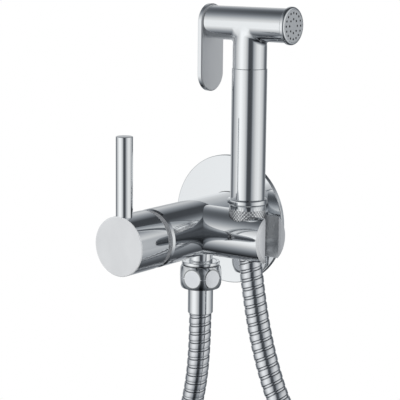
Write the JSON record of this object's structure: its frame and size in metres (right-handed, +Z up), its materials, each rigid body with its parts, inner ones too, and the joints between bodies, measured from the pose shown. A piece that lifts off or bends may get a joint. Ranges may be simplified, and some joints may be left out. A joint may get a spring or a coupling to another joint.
{
  "type": "bidet shower set",
  "caption": "Lever valve on a round wall plate, with a side arm that holds a trigger hand spray and a ribbed metal hose between the two.",
  "frame": {"origin": "centre of the wall plate on the finished wall's plane", "axes": "+Z up, +Y into the wall with the valve body pointing along -Y, +X to the viewer's right, where the holder arm points"},
  "size_m": [0.2991, 0.1436, 0.6305],
  "materials": {
    "polished_chrome": "polished",
    "hose_steel": "polished",
    "bare_brass": "machined",
    "black_rubber": "matte",
    "cartridge_plastic": "matte",
    "ceramic": "lapped",
    "stainless_steel": "satin"
  },
  "bodies": {
    "mixer": {"wall_plate": "polished_chrome", "plate_gasket": "black_rubber", "mixer_body": "polished_chrome", "holder_arm": "polished_chrome", "outlet_nipple": "polished_chrome", "nut_washer": "black_rubber", "hose_nut": "polished_chrome", "hose_tail": "bare_brass", "hose_ferrule": "polished_chrome", "hose": "hose_steel", "cartridge_body": "cartridge_plastic", "fixed_disc": "ceramic", "cartridge_nut": "bare_brass", "dome_ring": "polished_chrome"},
    "turn_carrier": {"cartridge_rotor": "cartridge_plastic", "tilt_pin": "stainless_steel"},
    "disc": {"moving_disc": "ceramic"},
    "lever": {"lever_cap": "polished_chrome", "lever_stem": "bare_brass", "lever_rod": "polished_chrome", "grub_screw": "stainless_steel"},
    "hose_end": {"ball_ferrule": "polished_chrome"},
    "handset": {"cone_nut": "polished_chrome", "cone_washer": "black_rubber", "inlet_collar": "polished_chrome", "handle_tube": "polished_chrome", "spray_head": "polished_chrome", "gland": "bare_brass", "valve_spring": "stainless_steel", "spray_ring": "polished_chrome", "spray_face": "stainless_steel", "spray_seal": "black_rubber"},
    "trigger": {"trigger_plate": "polished_chrome"},
    "plunger": {"plunger": "stainless_steel", "plunger_washer": "black_rubber"}
  },
  "joints": [
    {"name": "temperature_turn", "type": "hinge", "parent": "mixer", "child": "turn_carrier", "pos_m": [0, -0.0816, 0], "axis": [0, -1, 0], "range_deg": [-45, 45]},
    {"name": "flow_tilt", "type": "hinge", "parent": "turn_carrier", "child": "lever", "pos_m": [0, -0.0816, 0], "axis": [1, 0, 0], "range_deg": [0, 12]},
    {"name": "disc_slide", "type": "slide", "parent": "turn_carrier", "child": "disc", "axis": [0, 0, 1], "range_m": [0, 0.0026]},
    {"name": "handset_lift", "type": "slide", "parent": "mixer", "child": "hose_end", "axis": [0, 0, 1], "range_m": [0, 0.06]},
    {"name": "handset_swivel", "type": "hinge", "parent": "hose_end", "child": "handset", "pos_m": [0.0413, -0.0396, 0.0055], "axis": [0, 0, 1], "continuous": true},
    {"name": "trigger_press", "type": "hinge", "parent": "handset", "child": "trigger", "pos_m": [0.0129, -0.0396, 0.12295], "axis": [0, -1, 0], "range_deg": [0, 10], "stiffness_Nm_per_rad": 1.5, "springref_deg": -5.73},
    {"name": "plunger_pull", "type": "slide", "parent": "handset", "child": "plunger", "axis": [-1, 0, 0], "range_m": [0, 0.0019], "deforming": ["valve_spring"]}
  ],
  "couplings": [
    {"joint": "disc_slide", "follows": "flow_tilt", "m_per_rad": 0.012},
    {"joint": "plunger_pull", "follows": "trigger_press", "m_per_rad": 0.01045}
  ]
}
